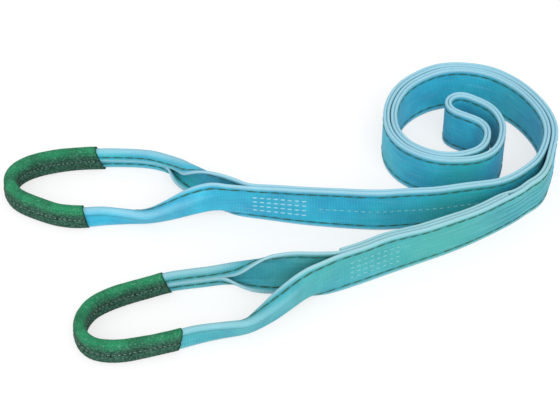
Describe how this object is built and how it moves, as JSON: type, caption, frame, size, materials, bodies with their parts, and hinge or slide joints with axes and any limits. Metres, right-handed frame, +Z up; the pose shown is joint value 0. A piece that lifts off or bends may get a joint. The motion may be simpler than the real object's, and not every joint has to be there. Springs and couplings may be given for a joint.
{
  "type": "flat web sling",
  "caption": "Doubled polyester web sling with a sleeved lifting eye at each end, standing on its edge, wound into a coil at mid length with both eyes laid out to one side.",
  "frame": {"origin": "on the surface the sling stands on, under the middle of its whole outline", "axes": "+X from the eyes towards the coil, +Y towards the side that the coil closes on, away from the second eye, +Z up, along the width of the webbing"},
  "size_m": [0.5594, 0.3816, 0.05],
  "materials": {
    "webbing_blue": "woven polyester webbing, ribbed, slightly glossy",
    "webbing_pale": "woven polyester webbing, ribbed, rubbed paler",
    "thread_green": "twisted polyester sewing thread",
    "thread_pale": "twisted polyester sewing thread",
    "sleeve_cloth": "coarse woven wear cloth, matt"
  },
  "bodies": {
    "coil": {"coil_outer_ply": "webbing_blue", "coil_inner_ply": "webbing_blue", "coil_upper_seam": "thread_green", "coil_lower_seam": "thread_green"},
    "leg_1": {"leg_1_front_ply": "webbing_blue", "leg_1_back_ply": "webbing_blue", "leg_1_upper_seam": "thread_green", "leg_1_lower_seam": "thread_green", "leg_1_centre_row": "thread_pale", "leg_1_throat_stitching": "thread_pale"},
    "leg_2": {"leg_2_front_ply": "webbing_pale", "leg_2_back_ply": "webbing_pale", "leg_2_lap_ply": "webbing_pale", "leg_2_upper_seam": "thread_green", "leg_2_lower_seam": "thread_green", "leg_2_throat_stitching": "thread_pale", "leg_2_lap_stitching": "thread_pale"},
    "eye_1": {"eye_1_web": "webbing_blue", "eye_1_sleeve": "sleeve_cloth", "eye_1_sleeve_seam": "thread_green"},
    "eye_2": {"eye_2_web": "webbing_blue", "eye_2_sleeve": "sleeve_cloth", "eye_2_sleeve_seam": "thread_green"}
  },
  "joints": [
    {"name": "leg_1_flex", "type": "hinge", "parent": "coil", "child": "leg_1", "pos_m": [0.212, 0.006, 0.025], "axis": [0, 0, 1], "range_deg": [-10, 4]},
    {"name": "leg_2_flex", "type": "hinge", "parent": "coil", "child": "leg_2", "pos_m": [0.244, 0.012, 0.025], "axis": [0, 0, 1], "range_deg": [0, 35]},
    {"name": "eye_1_flex", "type": "hinge", "parent": "leg_1", "child": "eye_1", "pos_m": [-0.036, 0.009, 0.025], "axis": [0, 0, 1], "range_deg": [-20, 8]},
    {"name": "eye_2_flex", "type": "hinge", "parent": "leg_2", "child": "eye_2", "pos_m": [0.056, -0.094, 0.025], "axis": [0, 0, 1], "range_deg": [-6, 20]}
  ]
}
